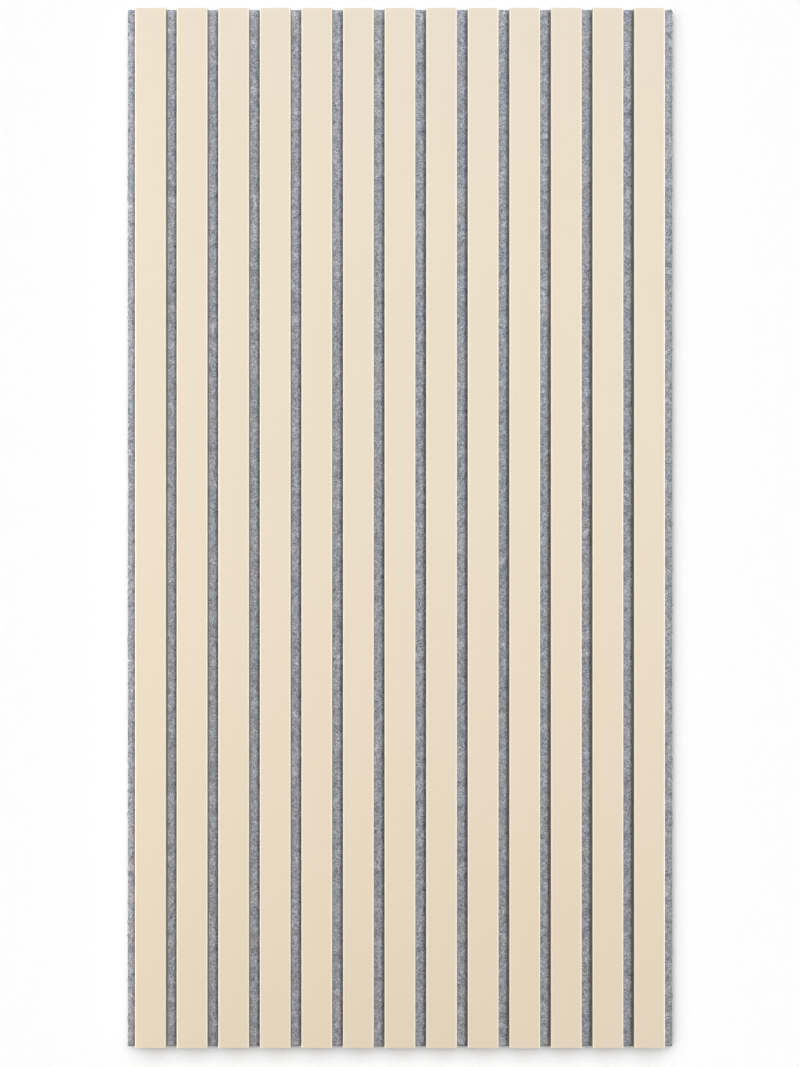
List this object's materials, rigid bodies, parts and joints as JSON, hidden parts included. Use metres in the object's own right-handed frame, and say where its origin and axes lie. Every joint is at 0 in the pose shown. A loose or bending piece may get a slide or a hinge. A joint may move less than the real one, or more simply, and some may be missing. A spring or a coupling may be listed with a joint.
{
  "type": "slatted acoustic panel",
  "caption": "Slatted acoustic wall panel: flat beige slats fixed side by side on a grey felt board, with even open gaps that let sound reach the felt.",
  "frame": {"origin": "middle of the felt's back face, on the surface the panel lies on", "axes": "+X across the slats, to the right in the picture; +Y along the slats, up in the picture; +Z out of the slats' faces"},
  "size_m": [0.528, 1.005, 0.021],
  "materials": {
    "slat": "fibreboard with a plain beige satin coating",
    "felt": "pressed polyester felt, heathered blue-grey, matt"
  },
  "bodies": {
    "root": {"felt_backing": "felt", "slat_01": "slat", "slat_02": "slat", "slat_03": "slat", "slat_04": "slat", "slat_05": "slat", "slat_06": "slat", "slat_07": "slat", "slat_08": "slat", "slat_09": "slat", "slat_10": "slat", "slat_11": "slat", "slat_12": "slat", "slat_13": "slat"}
  },
  "joints": []
}
